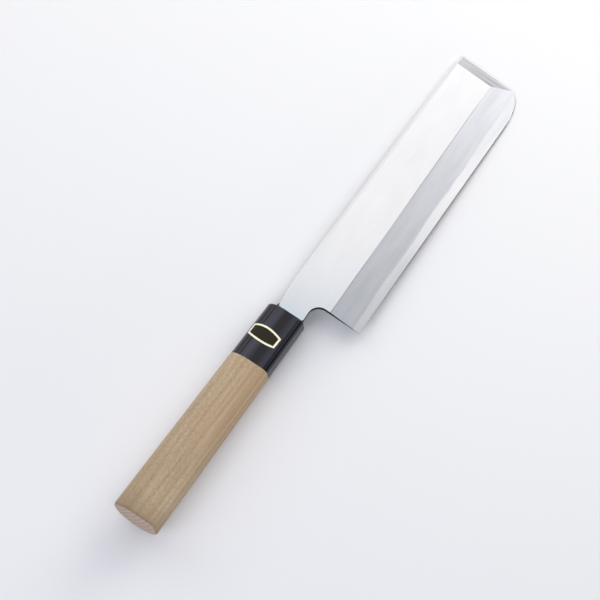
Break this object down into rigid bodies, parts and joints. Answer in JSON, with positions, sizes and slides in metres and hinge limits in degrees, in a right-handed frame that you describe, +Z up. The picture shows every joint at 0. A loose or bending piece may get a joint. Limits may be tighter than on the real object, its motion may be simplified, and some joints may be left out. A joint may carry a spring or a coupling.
{
  "type": "usuba knife",
  "caption": "Square-tipped single-bevel vegetable knife: laminated blade with a hollow back, horn ferrule and D-shaped wooden handle, lying front side up.",
  "frame": {"origin": "middle of the knife's bounding box, on the table it lies on", "axes": "+X from the butt towards the tip, +Y from the edge towards the spine, +Z up from the table, with the front of the blade up"},
  "size_m": [0.2918, 0.0468, 0.0253],
  "materials": {
    "jigane_iron": "soft iron, flat satin polished and bevel ground to a matt haze",
    "hagane_steel": "hard steel, fine ground and brighter than the iron",
    "ho_wood": "pale straight-grained wood, sanded and unvarnished",
    "black_horn": "polished black horn with faint grey streaks along it",
    "seal_resin": "dark matt resin",
    "label_foil": "printed foil, pale gold border round a bare dark field"
  },
  "bodies": {
    "root": {"jigane_blade": "jigane_iron", "hagane_layer": "hagane_steel", "wood_handle": "ho_wood", "horn_ferrule": "black_horn", "tang_seal": "seal_resin", "foil_label": "label_foil"}
  },
  "joints": []
}
